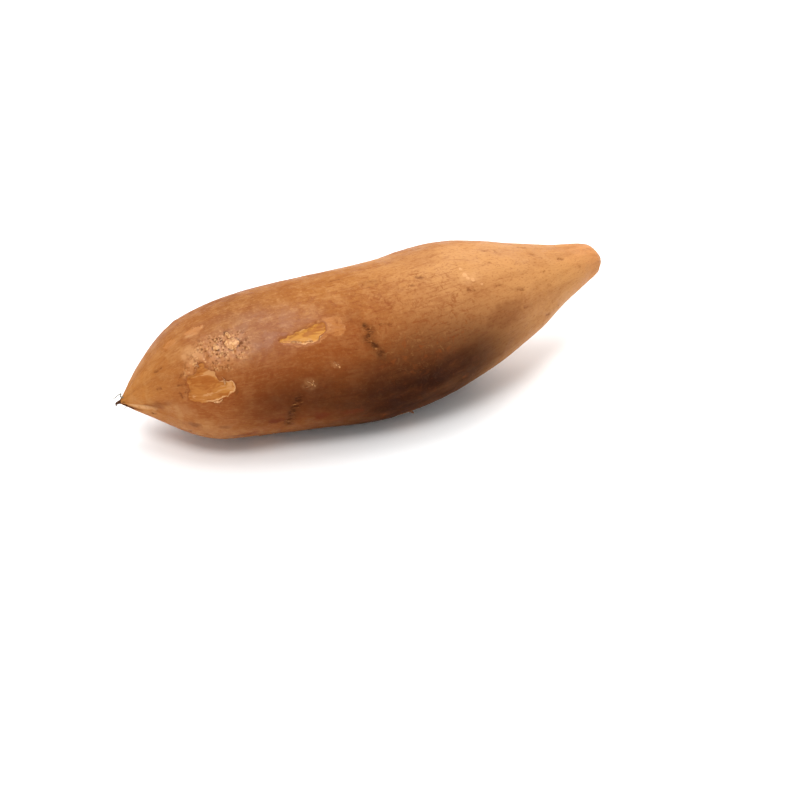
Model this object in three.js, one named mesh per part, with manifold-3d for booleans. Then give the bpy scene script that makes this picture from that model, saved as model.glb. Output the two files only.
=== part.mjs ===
// A whole yacon root: a swollen storage root, thick in the middle, drawn out to
// a pointed tip at one end and to a short stub at the other.
// Millimetres, +Z up, the root lying along X with its pointed tip towards -X.

import * as THREE from 'three';
import { mergeVertices } from 'three/addons/utils/BufferGeometryUtils.js';
import Module from 'manifold-3d';

// ---- Driving dimensions ----

const ROOT_SPAN = 191; // from tip to stub, along X
const HEIGHT_TO_WIDTH = 0.96; // of every cross-section: roots lie a little flat
const REST_FLAT_DEPTH = 0.9; // how much of the belly the rest spot takes away

// The outline of a straightened root: radius, and distance from the tip.
const GIRTH = [
  [0, 0],
  [1.2, 0.8],
  [2.7, 3.2],
  [7.4, 7.4],
  [12, 12.8],
  [21, 26],
  [26.5, 46],
  [28.5, 72],
  [29.5, 98],
  [28.5, 124],
  [23.5, 148],
  [16.5, 166],
  [11.2, 181],
  [8.2, 191],
  [6, 196.2],
  [3, 197.8],
  [0, 198],
];

// The middle of the root from tip to stub: how far it bows sideways, and how high
// it lies, at even steps along X. The thin ends are lifted off the ground.
const BOW = [0, -4, -8, -9.5, -5.5, -1, 3.5];
const LIFT = [17.8, 24.9, 27.5, 27, 29.5, 31, 33.2];

// Lobes: shallow swellings that run along the root and turn slowly round it.
// Each has a count round the root, a height as a share of the radius, a starting
// angle in radians, and the turns that it makes from tip to stub.
const LOBES = [
  { count: 2, height: 0.006, start: 0.8, turns: 0.35 },
  { count: 3, height: 0.012, start: 2.1, turns: -0.35 },
];

const RINGS = 60; // steps along the outline
const SIDES = 44; // steps round it

// ---- The middle line ----

function middleLine() {
  const step = ROOT_SPAN / (BOW.length - 1);
  const points = BOW.map((bow, i) => new THREE.Vector3(i * step, bow, LIFT[i]));
  return new THREE.CatmullRomCurve3(points);
}

// ---- Geometry helpers ----

function lobeFactor(angle, share) {
  let factor = 1;
  for (const lobe of LOBES) {
    const turned = lobe.start + lobe.turns * share * 2 * Math.PI;
    factor += lobe.height * Math.sin(lobe.count * angle + turned);
  }
  return factor;
}

// Keep only the positions, join equal points, and drop the faces that have no
// area where a ring shrinks to a point on the axis.
function weld(geometry) {
  geometry.deleteAttribute('normal');
  geometry.deleteAttribute('uv');
  const merged = mergeVertices(geometry);
  const index = merged.getIndex().array;
  const kept = [];
  for (let i = 0; i < index.length; i += 3) {
    const [a, b, c] = [index[i], index[i + 1], index[i + 2]];
    if (a !== b && b !== c && c !== a) kept.push(a, b, c);
  }
  merged.setIndex(kept);
  return merged;
}

// Move a solid that was turned round the Y axis onto a curve, so that its Y axis
// follows the curve. Its X turns sideways and stays level, and its -Z turns up.
function bendAlong(curve, geometry, length) {
  const up = new THREE.Vector3(0, 0, 1);
  const position = geometry.getAttribute('position');
  for (let i = 0; i < position.count; i += 1) {
    const share = THREE.MathUtils.clamp(position.getY(i) / length, 0, 1);
    const along = curve.getTangentAt(share);
    const side = up.clone().cross(along).normalize();
    const over = along.clone().cross(side);
    const sideways = position.getX(i);
    const upwards = -position.getZ(i);
    const lobes = lobeFactor(Math.atan2(upwards, sideways), share);
    const point = curve.getPointAt(share);
    point.addScaledVector(side, sideways * lobes);
    point.addScaledVector(over, upwards * lobes * HEIGHT_TO_WIDTH);
    position.setXYZ(i, point.x, point.y, point.z);
  }
}

// ---- Solids: joining and cutting closed meshes ----

const wasm = await Module();
wasm.setup();

function toSolid(geometry) {
  return new wasm.Manifold(new wasm.Mesh({
    numProp: 3,
    vertProperties: Float32Array.from(geometry.getAttribute('position').array),
    triVerts: Uint32Array.from(geometry.getIndex().array),
  }));
}

function toGeometry(solid) {
  const mesh = solid.getMesh();
  const geometry = new THREE.BufferGeometry();
  geometry.setAttribute('position', new THREE.BufferAttribute(mesh.vertProperties, 3));
  geometry.setIndex(new THREE.BufferAttribute(mesh.triVerts, 1));
  return geometry;
}

// ---- The root ----

function rootBody() {
  const outline = new THREE.CatmullRomCurve3(GIRTH.map(([radius, along]) => (
    new THREE.Vector3(radius, along, 0)
  )));
  const profile = outline.getSpacedPoints(RINGS);
  profile[0].x = 0;
  profile[RINGS].x = 0;
  const geometry = weld(new THREE.LatheGeometry(profile, SIDES));
  bendAlong(middleLine(), geometry, GIRTH.at(-1)[1]);
  return geometry;
}

// A block that takes the lowest part of the belly away and leaves the small flat
// spot that the root lies on.
function underBelly(bodyBox) {
  const size = bodyBox.getSize(new THREE.Vector3()).multiplyScalar(2);
  const block = new THREE.BoxGeometry(size.x, size.y, size.z);
  const middle = bodyBox.getCenter(new THREE.Vector3());
  block.translate(middle.x, middle.y, bodyBox.min.z + REST_FLAT_DEPTH - size.z / 2);
  return weld(block);
}

function yaconRoot() {
  const body = rootBody();
  body.computeBoundingBox();
  const rested = toSolid(body).subtract(toSolid(underBelly(body.boundingBox)));
  const geometry = toGeometry(rested);
  geometry.computeBoundingBox();
  const middle = geometry.boundingBox.getCenter(new THREE.Vector3());
  geometry.translate(-middle.x, -middle.y, -geometry.boundingBox.min.z);
  geometry.computeVertexNormals();

  const skin = new THREE.MeshStandardMaterial({
    color: 0x9c6336,
    roughness: 0.6,
    metalness: 0,
  });
  const mesh = new THREE.Mesh(geometry, skin);
  mesh.name = 'yacon_root';
  return mesh;
}

const group = new THREE.Group();
group.add(yaconRoot());

export default group;
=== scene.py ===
"""The looks of a whole yacon root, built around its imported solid.

The solid gives the true size and shape. This script wraps a fine skin round it, with the
grain, wrinkles, scars and scraped patches of a washed root, and adds the dry end of its
tail, the dry hair roots, the broken rootlets and the loose edges of torn skin.

Blender works in metres. Names that end in _MM are in millimetres. A place on the skin is
(along, turn): millimetres from the tip of the tail, and degrees round the root, with 0 on
top, 90 at the front, 180 underneath and -90 at the back.
"""

import math
import random

import bpy
import numpy as np
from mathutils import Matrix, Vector, noise
from mathutils.bvhtree import BVHTree


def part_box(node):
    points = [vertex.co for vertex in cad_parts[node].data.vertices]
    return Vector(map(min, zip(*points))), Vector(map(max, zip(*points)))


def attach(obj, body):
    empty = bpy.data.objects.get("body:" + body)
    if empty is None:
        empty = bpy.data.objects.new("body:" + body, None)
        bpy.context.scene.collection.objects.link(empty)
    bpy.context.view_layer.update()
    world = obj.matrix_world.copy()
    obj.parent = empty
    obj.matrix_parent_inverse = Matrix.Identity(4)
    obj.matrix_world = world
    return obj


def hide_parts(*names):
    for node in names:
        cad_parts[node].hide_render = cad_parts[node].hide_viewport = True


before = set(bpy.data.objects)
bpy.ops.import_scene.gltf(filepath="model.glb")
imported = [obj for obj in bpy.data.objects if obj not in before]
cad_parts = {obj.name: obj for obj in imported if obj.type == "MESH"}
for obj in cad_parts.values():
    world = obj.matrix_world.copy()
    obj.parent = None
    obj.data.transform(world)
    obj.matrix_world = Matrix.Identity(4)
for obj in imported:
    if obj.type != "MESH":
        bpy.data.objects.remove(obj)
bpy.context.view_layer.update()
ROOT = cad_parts["yacon_root"]
LOW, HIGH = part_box("yacon_root")
MM = 0.001

# ---------------------------------------------------------------- driving values

RINGS = 440  # rings of skin from the tip to the stub
SIDES = 224  # points round each ring
PROBES = 24  # rays that find the middle of a slice
SLICES = 240  # slices that find the middle line
GRAIN_RADIUS_MM = 25  # the radius of the straightened root that the grain is drawn on
SMALL_NICKS = 90  # scattered over the whole root, besides the listed ones
SMALL_PORES = 70
STEM_SCAR_MM = 3.0  # the radius of the scar where the root left its stem
PATCH_MARGIN_MM = 6  # how far round a patch, and round a scar, its depth is worked out
SCAR_MARGIN_MM = 5
FAR_MM = 10.0  # stands for "nowhere near" in every depth below 0

# Relief in millimetres: how far each kind of mark sinks into the skin or stands out of it.
SCRAPE_DEPTH_MM = 0.42
SCRAPE_LAYERS_MM = 0.14
SCRAPE_STROKES_MM = 0.07
TORN_RIM_MM = 0.16
GRAZE_DEPTH_MM = 0.13
SCALE_HEIGHT_MM = 0.26
CRACK_DEPTH_MM = 0.10
CRACK_DASHES_MM = 0.26
CRACK_RIM_MM = 0.12
NICK_DEPTH_MM = 0.16
TAIL_EDGE_DEPTH_MM = 0.25
PIT_DEPTH_MM = 0.34

# Layers of unevenness: height and size across in millimetres, and the seed of its noise.
UNEVEN_LAYERS = [(0.30, 26, 1), (0.14, 9, 2), (0.05, 3, 3)]
GRAIN_LAYERS = [(0.04, 2.4, 4), (0.03, 1.2, 5)]
CROSS_WRINKLES = [(0.10, 3.4, 6)]
NET_WRINKLES = [(0.09, 2.0, 12)]
TAIL_WRINKLES = [(0.12, 5, 7)]
STUB_WRINKLES = [(0.08, 5, 8)]
STUB_CROSS_WRINKLES = [(0.08, 2.5, 9)]
SEED_STEP = (17.3, 5.1, 29.7)  # how far apart, in lumps, the noises of two seeds are

# Scraped patches, down to the yellow flesh.
SCRAPES = {
    "front_low": [
        (24.9, 45.5), (26.1, 44), (27.2, 46), (26.9, 50), (28, 52.5), (29.2, 55.5),
        (30, 59), (30.5, 64), (32.8, 64.8), (34.9, 66.7), (35.2, 70.5), (34.8, 74),
        (33, 78.8), (31, 79.8), (29.3, 80.8), (27.4, 82.6), (24.5, 82.8), (21.8, 82.2),
        (20.2, 80), (20.3, 74), (21, 68), (20.5, 63), (20.4, 57.5), (21, 54.2),
        (22.5, 53.3), (23.9, 51.8), (24.4, 48.5),
    ],
    "front_high": [
        (53.7, 43), (55.9, 41), (59.4, 39.4), (62.2, 38), (65.4, 36.5), (68.2, 34.8),
        (70.4, 36), (70.4, 39.3), (69.3, 42.7), (67.5, 44.7), (66.1, 48.5), (63.3, 49.2),
        (60, 47.9), (57.2, 46.1), (54.7, 45.3),
    ],
    "back_low": [
        (118, -84), (122, -79), (128, -80), (131, -87), (127, -93), (121, -95), (117, -91),
    ],
    "belly": [(44, 150), (49, 147), (54, 152), (52, 158), (46, 159)],
}

# Grazes, where only the thin outer bark is rubbed away.
GRAZES = {
    "beside_front_high": [
        (53, 43), (59, 38.9), (63, 36.8), (67.1, 33.4), (69.9, 32.7), (72.7, 32),
        (75.5, 31.8), (76.5, 36.2), (76.9, 41.6), (76, 45.6), (73.2, 47.1), (70.5, 45),
        (67.8, 47.4), (66.8, 50), (63.2, 50.5), (59.8, 49.6), (56.5, 47.8), (54, 45.8),
    ],
    "shoulder": [(24.5, 5), (27, 5), (31, 8), (29.5, 14), (25.5, 12)],
    "shoulder_low": [(17.5, 3), (20, 1.5), (21.5, 6), (20, 12), (18, 12)],
    "back_high": [(58, -74), (64, -70), (72, -72), (74, -78), (66, -82), (59, -80)],
    "back_stub": [(146, -118), (150, -110), (156, -112), (155, -124), (149, -126)],
    "front_belly": [(96, 136), (101, 132), (106, 136), (104, 143), (98, 143)],
}

# Dry, pale scales of bark that still hold on.
SCALES = {
    "shoulder_scale": [(35.5, 33), (38, 32), (40, 35), (39.5, 39), (37, 40), (35.5, 37)],
    "shoulder_chip": [(36.5, 25), (37.7, 25.5), (38, 30), (36.8, 30)],
    "shoulder_crumb": [(31.5, 32.5), (33.5, 34.5), (33, 37.5), (31.5, 36.5)],
    "back_scale": [(84, -104), (87, -101), (89, -106), (87, -111), (84, -109)],
}

# Cracked strips across the root, full of short dark dashes: the middle line of the strip,
# and its width in millimetres.
CRACKS = [
    ([(84.2, 44.5), (85.6, 47), (85.0, 50), (83.4, 52)], 1.9),
    ([(84.8, 55.5), (86, 59), (87, 63), (88, 67)], 2.0),
    ([(56.8, 89), (56, 94), (55, 99), (54.4, 108), (54, 118)], 2.6),
    ([(102, -60), (101, -68), (102.5, -78)], 2.2),
    ([(66, -118), (65, -128), (66.5, -137)], 2.8),
    ([(40, -96), (39, -104), (40.5, -112)], 2.2),
    ([(118, 166), (117, 176), (118, 186)], 2.4),
]

# Short nicks, shallow and brown: the line, and its width in millimetres.
NICKS = [
    ([(113, -22), (115.8, -21.5), (118, -21)], 0.8),
    ([(138.8, 1), (141, 3.5)], 0.9),
    ([(158.6, 9), (161, 13)], 0.8),
    ([(170.4, 26), (173, 29)], 0.7),
    ([(126, 40), (128.7, 42)], 0.8),
    ([(146.6, 52), (149.4, 53.5)], 0.9),
    ([(108.9, 16), (111.6, 18.5)], 0.9),
    ([(105.4, 22), (107.6, 23.5)], 0.8),
    ([(159.6, 99), (161.4, 102)], 0.8),
    ([(12.4, 30), (13.8, 31)], 0.9),
    ([(11.4, 58), (12.3, 59)], 0.8),
    ([(138, 43), (140.6, 44)], 0.7),
    ([(140, -40), (141, -47), (140, -52)], 0.7),
    ([(88.5, 44.5), (91.5, 45.5), (93.5, 47)], 0.8),
    ([(33, 66), (35.5, 68), (35.9, 73)], 0.9),
    ([(35.6, 75), (34.9, 78.5)], 0.8),
    ([(18.6, 52), (19.8, 50)], 0.8),
    ([(17.2, 68), (18.4, 77)], 0.7),
]

# The broken dark edge under the tail: the line, and its width in millimetres.
TAIL_EDGE = [
    ([(1.4, 118), (2.6, 130), (4.2, 130)], 1.2),
    ([(4.9, 129), (6.0, 127)], 0.7),
    ([(9.4, 124), (10.2, 122)], 0.5),
]

# Brown to reddish blotches: along, turn, length and width in millimetres, strength.
STAINS = [
    (22.0, 114, 4.2, 2.4, 0.9),
    (31.4, 112, 3.6, 2.2, 0.7),
    (48.9, 111, 6.5, 3.4, 1.0),
    (65.1, 111, 6.0, 4.6, 1.0),
    (37.2, 128, 10.0, 1.6, 0.9),
    (9.6, 94, 6.0, 3.4, 0.60),
    (13.0, 88, 3.5, 2.0, 0.45),
    (76, 110, 8.0, 2.6, 0.7),
    (81.5, 36, 7.0, 8.0, 0.20),
    (140, 69, 18.0, 8.0, 0.40),
    (92, 8, 8.0, 3.0, 0.25),
    (110.5, 18, 2.5, 1.2, 0.6),
    (92, -48, 10.0, 5.0, 0.5),
    (130, -112, 7.0, 4.0, 0.7),
    (52, -60, 5.0, 3.0, 0.6),
    (84, 170, 14.0, 9.0, 0.5),
    (150, -70, 5.0, 2.5, 0.6),
]

# Breathing pores, pale and raised: along, turn, then size and height in millimetres.
PORES = [
    (126.5, 20.5, 1.7, 0.30),
    (127.0, 26.8, 2.1, 0.36),
    (127.7, 30.4, 1.8, 0.32),
    (129.4, 32.9, 1.9, 0.32),
    (132.4, 38.4, 1.5, 0.26),
    (70.0, 65.2, 0.9, 0.26),
    (71.0, 67.0, 0.9, 0.30),
    (72.0, 69.0, 0.9, 0.26),
    (70.2, 68.8, 0.8, 0.22),
    (60.4, 76.4, 0.9, 0.28),
    (61.6, 78.4, 0.9, 0.26),
    (62.6, 80.2, 0.8, 0.22),
    (98, -84, 1.3, 0.28),
    (99.2, -89, 1.4, 0.30),
    (100.1, -94, 1.1, 0.25),
    (72, -104, 1.2, 0.25),
]

# Knobs, some of them under pores or a broken rootlet: as PORES.
KNOBS = [
    (60.8, 80, 4.5, 0.7), (143, -88, 5.0, 0.7), (34, -128, 4.0, 0.5), (107, 88, 6.0, 0.5),
    (25, -34, 5.0, 0.4),
]

# Soft-edged zones: along, turn, length and width in millimetres.
PITTED_ZONES = [(33.5, 38, 20, 14), (25.5, 43, 9, 9), (21.5, 53, 4, 4), (112, -128, 20, 14)]
WRINKLED_ZONES = [(104, 45, 50, 34), (84, 20, 40, 20), (60, -96, 44, 28), (128, -60, 48, 28)]
# Painted shade: these zones darken the lower front, as if in shade, and the underside with it.
PAINTED_SHADE_ZONES = [(104, 99, 84, 40), (58, 91, 46, 17), (100, 162, 96, 48), (90, -150, 120, 36)]
RUDDY_ZONES = [(82, 84, 132, 50), (70, -132, 120, 50), (130, -60, 50, 26)]
RUBBED_ZONES = [(46, 30, 44, 24), (33, 24, 22, 20), (96, -96, 50, 26)]
TORN_ZONES = [
    (34.5, 70, 8, 7), (29, 80.5, 9, 3.5), (61, 49.5, 14, 3), (129, -93, 8, 6), (48, 159, 8, 4),
]

# Pale patches, most of them round pores and lost rootlets: as STAINS. The first two are painted
# light: the front and lower side near the tail are lightened as if by light thrown up from the
# white floor.
PALE_SPOTS_AND_PAINTED_LIGHT = [
    (17.0, 96.0, 10.0, 7.0, 0.22),
    (26.0, 122.0, 26.0, 12.0, 0.22),
    (5.8, 103, 9.0, 1.9, 1.0),
    (61.0, 78.5, 5.5, 4.5, 0.18),
    (70.9, 67.2, 3.2, 2.2, 0.20),
    (23.6, 33.0, 7.0, 6.0, 0.45),
    (143.0, -88.0, 5.0, 4.5, 0.8),
    (34.0, -128.0, 4.5, 4.0, 0.7),
    (99.2, -89.0, 4.0, 3.4, 0.7),
    (102.0, 138.0, 4.0, 3.4, 0.7),
    (26.0, 12.0, 4.5, 1.6, 0.5),
    (128.5, 30.0, 9.0, 6.0, 0.35),
]

# Broad swellings and hollows: along, turn, length, width and height in millimetres.
SWELLINGS = [
    (10, 112, 14, 20, -1.2),
    (31, 132, 20, 26, 1.2),
    (51, 119, 18, 24, -1.0),
    (89, -24, 24, 26, 0.6),
    (105, -25, 13, 18, -0.4),
    (130, -22, 20, 22, 0.5),
    (161, 118, 14, 18, 1.0),
    (177, 2, 14, 14, -0.6),
    (186, 95, 9, 10, -0.8),
    (62, -112, 26, 26, 0.8),
    (84, -130, 16, 22, -0.7),
    (118, -138, 26, 26, 0.7),
    (148, -116, 16, 18, -0.6),
    (28, -118, 18, 18, -0.6),
]


def srgb(red, green, blue):
    """A colour as the eye names it, 0 to 255, turned into the light that it gives back."""
    shares = [value / 255 for value in (red, green, blue)]
    light = [s / 12.92 if s <= 0.04045 else ((s + 0.055) / 1.055) ** 2.4 for s in shares]
    return (*light, 1.0)


# ---------------------------------------------------------------- curves and noise

def curve_point(before, here, after, beyond, share):
    """The point at that share of the way from here to after, on a smooth curve."""
    straight = (after - before) * share
    bend = (before * 2 - here * 5 + after * 4 - beyond) * share**2
    twist = (here * 3 - before - after * 3 + beyond) * share**3
    return here + (straight + bend + twist) / 2


def smooth_loop(points, steps=6):
    """A closed curve through the points, with that many steps from each to the next."""
    here = np.array(points, float)
    before, after, beyond = (np.roll(here, shift, 0) for shift in (1, -1, -2))
    shares = np.arange(steps) / steps
    loops = [curve_point(before, here, after, beyond, share) for share in shares]
    return np.stack(loops, 1).reshape(-1, 2)


def smooth_path(points, steps):
    """A smooth open curve through the points, as smooth_loop."""
    padded = [points[0] * 2 - points[1], *points, points[-1] * 2 - points[-2]]
    path = []
    for four in zip(padded, padded[1:], padded[2:], padded[3:]):
        path += [curve_point(*four, i / steps) for i in range(steps)]
    return path + [points[-1]]


def lumps(points, size, seed):
    """Smooth noise from -1 to 1 at each point, in lumps about that size across."""
    shift = Vector([step * seed for step in SEED_STEP])
    flat = (np.asarray(points, float).reshape(-1, 3) / size).tolist()
    values = [noise.noise(Vector(point) + shift) for point in flat]
    return np.array(values).reshape(np.shape(points)[:-1])


def layered(points, layers):
    """Several layers of noise together: (height, size, seed) of each."""
    return sum(height * lumps(points, size, seed) for height, size, seed in layers)


def blur(values, width, axis, mode):
    """The values smoothed along one axis by a bell of that many steps."""
    reach = int(3 * width)
    bell = np.exp(-0.5 * (np.arange(-reach, reach + 1) / width) ** 2)
    pad = [(0, 0)] * values.ndim
    pad[axis] = (reach, reach)
    padded = np.pad(values, pad, mode=mode)
    count = values.shape[axis]
    parts = [w * np.take(padded, range(i, i + count), axis) for i, w in enumerate(bell)]
    return sum(parts) / bell.sum()


def ease(low, high, values):
    """0 at or below low, 1 at or above high, and a smooth rise between them."""
    share = np.clip((values - low) / (high - low), 0, 1)
    return share * share * (3 - 2 * share)


# ---------------------------------------------------------------- distances on the skin

def segments_gap(points, starts, ends):
    """The distance from each point to the nearest of the straight segments."""
    edge = ends - starts
    offset = points[:, None] - starts
    share = np.clip((offset * edge).sum(-1) / (edge**2).sum(-1), 0, 1)
    return np.linalg.norm(offset - share[..., None] * edge, axis=-1).min(1)


def loop_depth(points, loop):
    """How deep each point lies inside a closed loop, and below 0 outside it."""
    ends = np.roll(loop, -1, axis=0)
    gap = segments_gap(points, loop, ends)
    above = loop[:, 1] > points[:, None, 1]
    rise = np.where(ends[:, 1] == loop[:, 1], 1, ends[:, 1] - loop[:, 1])
    level = (points[:, None, 1] - loop[:, 1]) / rise
    meets = loop[:, 0] + level * (ends[:, 0] - loop[:, 0])
    crossed = (above != np.roll(above, -1, axis=1)) & (points[:, None, 0] < meets)
    return np.where(crossed.sum(1) % 2 == 1, gap, -gap)


# ---------------------------------------------------------------- the measured skin

def ring_places(slices, radii):
    """x of each ring and how far it is from the tip over the skin, evenly spaced."""
    x = np.concatenate([[LOW.x], slices, [HIGH.x]])
    radius = np.concatenate([[0], radii, [0]])
    walked = np.concatenate([[0], np.cumsum(np.hypot(np.diff(x), np.diff(radius)))])
    even = walked[-1] * (np.arange(RINGS) + 0.5) / RINGS
    return np.interp(even, walked, x), even


def without_facets(reach, walked):
    """The radii with the solid's flat facets smoothed away, but not lengthways at its ends."""
    round_ring = blur(reach, 3.5, 1, "wrap")
    from_end = np.minimum(walked, walked[-1] - walked)
    keep = ease(3 * MM, 7 * MM, from_end)[:, None]
    return keep * blur(round_ring, 4, 0, "edge") + (1 - keep) * round_ring


def outward(points):
    """The direction straight out of the skin at each point."""
    lengthways = np.gradient(points, axis=0)
    sideways = np.roll(points, -1, 1) - np.roll(points, 1, 1)
    across = np.cross(sideways, lengthways)
    return across / np.maximum(np.linalg.norm(across, axis=-1, keepdims=True), 1e-12)


class Skin:
    """The solid's surface as rings of points, with the place of each on the root."""

    def __init__(self, solid):
        mesh = solid.data
        corners = [vertex.co for vertex in mesh.vertices]
        self.tree = BVHTree.FromPolygons(corners, [face.vertices[:] for face in mesh.polygons])
        slices, middles, radii = self.middle_line()
        self.ring_x, walked = ring_places(slices, radii)
        middle = [np.interp(self.ring_x, slices, blur(middles[:, k], 5, 0, "edge")) for k in (0, 1)]
        self.middle = np.stack(middle, -1)
        self.turn = np.degrees(np.arange(SIDES) * 2 * math.pi / SIDES)
        self.turn = np.where(self.turn > 180, self.turn - 360, self.turn)
        reach = [self.reach(x, m, self.turn) for x, m in zip(self.ring_x, self.middle)]
        self.radius = without_facets(np.array(reach), walked)
        self.along = (self.ring_x - LOW.x) / MM
        self.walked = walked / MM
        self.points = self.spread(self.radius)
        self.normals = outward(self.points)

    def reach(self, x, middle, turns):
        """How far the surface is from the middle of the slice at x, at each turn."""
        start = Vector((x, *middle))
        found = []
        for angle in np.radians(turns):
            ray = Vector((0, -math.sin(angle), math.cos(angle)))
            found.append(self.tree.ray_cast(start, ray)[3] or 0.0)
        return np.array(found)

    def middle_line(self):
        """Slices from tip to stub, closer at the ends: x, middle (y, z), mean radius."""
        share = (1 - np.cos(np.linspace(0, math.pi, SLICES + 2)[1:-1])) / 2
        slices = LOW.x + (HIGH.x - LOW.x) * share
        turns = np.arange(PROBES) * 360 / PROBES
        directions = np.stack([-np.sin(np.radians(turns)), np.cos(np.radians(turns))], -1)
        middles = np.zeros((SLICES, 2))
        radii = np.zeros(SLICES)
        halfway = SLICES // 2
        for order in (range(halfway, SLICES), range(halfway - 1, -1, -1)):
            middle = np.array([(LOW.y + HIGH.y) / 2, (LOW.z + HIGH.z) / 2])
            if order[0] < halfway:
                middle = middles[halfway]
            for i in order:
                for _ in range(3):
                    reach = self.reach(slices[i], middle, turns)
                    middle = middle + (directions * reach[:, None]).mean(0)
                middles[i] = middle
                radii[i] = reach.mean()
        return slices, middles, radii

    def spread(self, radius):
        """Points at those distances from the middle line."""
        angle = np.radians(self.turn)
        x = np.repeat(self.ring_x[:, None], SIDES, 1)
        y = self.middle[:, :1] - radius * np.sin(angle)
        z = self.middle[:, 1:] + radius * np.cos(angle)
        return np.stack([x, y, z], -1)

    def mean_radius(self, along):
        """The radius in millimetres of the ring at that place."""
        return np.interp(along, self.along, self.radius.mean(1)) / MM

    def around(self, middle_turn):
        """Every turn as seen from one of them, -180 to 180, for each point."""
        turned = (self.turn - middle_turn + 180) % 360 - 180
        return np.repeat(turned[None], RINGS, 0)

    def offsets(self, along, turn):
        """How far each point is from a place, lengthways and sideways, in millimetres."""
        sideways = np.radians(self.around(turn)) * self.mean_radius(along)
        return self.along[:, None] - along, sideways

    def unrolled(self, places, margin):
        """The places laid flat round their middle, and the skin's points near them.

        Returns the places in millimetres, a mask of the near points, and these laid flat."""
        places = np.array(places, float)
        along, turn = (places.min(0) + places.max(0)) / 2
        radius = max(self.mean_radius(along), 3.0)
        flat = np.stack([places[:, 0], np.radians(places[:, 1] - turn) * radius], -1)
        skin_along = np.repeat(self.along[:, None], SIDES, 1)
        skin_side = np.radians(self.around(turn)) * radius
        low, high = flat.min(0) - margin, flat.max(0) + margin
        near = (skin_along > low[0]) & (skin_along < high[0])
        near &= (skin_side > low[1]) & (skin_side < high[1])
        return flat, near, np.stack([skin_along[near], skin_side[near]], -1)


# ---------------------------------------------------------------- marks on the skin

def patch_depths(skin, outlines, ragged, seed):
    """How deep each point lies in the nearest patch, in millimetres, with ragged edges."""
    deepest = np.full((RINGS, SIDES), -FAR_MM)
    for outline in outlines.values():
        flat, near, points = skin.unrolled(outline, PATCH_MARGIN_MM)
        depth = loop_depth(points, smooth_loop(flat))
        depth += ragged * lumps(skin.points[near] / MM, 1.8, seed)
        depth += 0.5 * ragged * lumps(skin.points[near] / MM, 0.9, seed + 1)
        deepest[near] = np.maximum(deepest[near], depth)
    return deepest


def scar_depths(skin, scars):
    """How deep each point lies in the nearest scar, in millimetres: 0 at its edge."""
    deepest = np.full((RINGS, SIDES), -FAR_MM)
    for line, width in scars:
        flat, near, points = skin.unrolled(line, SCAR_MARGIN_MM)
        wobble = 0.5 * lumps(skin.points[near] / MM, 1.5, 5)
        points = points + wobble[:, None]
        gap = segments_gap(points, flat[:-1], flat[1:])
        uneven = 1 + 0.7 * lumps(skin.points[near] / MM, 2.0, 6)
        deepest[near] = np.maximum(deepest[near], width / 2 * uneven - gap)
    return deepest


def blotches(skin, marks, ragged):
    """From 0 to 1 in soft-edged blotches: along, turn, length, width, strength."""
    total = np.zeros((RINGS, SIDES))
    wobble = ragged * lumps(skin.points / MM, 2.2, 9)
    for along, turn, length, width, *strength in marks:
        ahead, sideways = skin.offsets(along, turn)
        gap = np.hypot(ahead / (length / 2), sideways / (width / 2))
        inside = ease(1.35, 0.55, gap + wobble)
        total = np.maximum(total, inside * (strength[0] if strength else 1))
    return total


def soft_zones(skin, zones, sideways, lengthways):
    """The zones as blotches whose edges fade over that many points of the skin."""
    return blur(blur(blotches(skin, zones, 0.1), sideways, 1, "wrap"), lengthways, 0, "edge")


def bumps(skin, marks):
    """Rounded rises: along, turn, size across and height, in millimetres."""
    total = np.zeros((RINGS, SIDES))
    for along, turn, size, height in marks:
        gap = np.hypot(*skin.offsets(along, turn)) / (size / 2)
        total = np.maximum(total, height * np.exp(-(gap**2) * 1.4))
    return total


def swellings(skin):
    """The broad swellings and hollows together, in millimetres."""
    total = np.zeros((RINGS, SIDES))
    for along, turn, length, width, height in SWELLINGS:
        ahead, sideways = skin.offsets(along, turn)
        gap = np.hypot(ahead / (length / 2), sideways / (width / 2))
        total += height * np.exp(-(gap**2))
    from_end = np.minimum(skin.walked, skin.walked[-1] - skin.walked)
    return total * ease(1, 14, from_end)[:, None]


def small_nicks():
    """Short marks scattered over the whole root, most of them across it."""
    rng = random.Random(7)
    found = []
    for i in range(SMALL_NICKS):
        along = rng.uniform(10, 184)
        turn = rng.uniform(-180, 180)
        across = rng.uniform(1, 5) if i % 3 else 0.6
        length = rng.uniform(-0.8, 0.8) if i % 3 else rng.uniform(1.5, 3.5)
        found.append(([(along, turn), (along + length, turn + across)], rng.uniform(0.3, 0.7)))
    return found


def small_pores():
    """Faint pores scattered over the whole root."""
    rng = random.Random(11)
    found = []
    for _ in range(SMALL_PORES):
        size = rng.uniform(0.6, 1.1)
        place = (rng.uniform(8, 186), rng.uniform(-180, 180))
        found.append((*place, size, rng.uniform(0.06, 0.16)))
    return found


def straightened(skin):
    """Each point's place on the root as if it were a straight bar, in millimetres."""
    angle = np.radians(np.repeat(skin.turn[None], RINGS, 0))
    walked = np.repeat(skin.walked[:, None], SIDES, 1)
    return np.stack([walked, GRAIN_RADIUS_MM * np.cos(angle), GRAIN_RADIUS_MM * np.sin(angle)], -1)


def end_wrinkles(skin, lengthways, crosswise):
    """The dry wrinkles that draw the skin together at the tail and at the stub."""
    near_tail = ease(22, 3, skin.walked)[:, None]
    near_stub = ease(22, 2, skin.walked[-1] - skin.walked)[:, None]
    at_stub = layered(lengthways, STUB_WRINKLES) + layered(crosswise, STUB_CROSS_WRINKLES)
    return near_tail * layered(lengthways, TAIL_WRINKLES) + near_stub * at_stub


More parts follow.
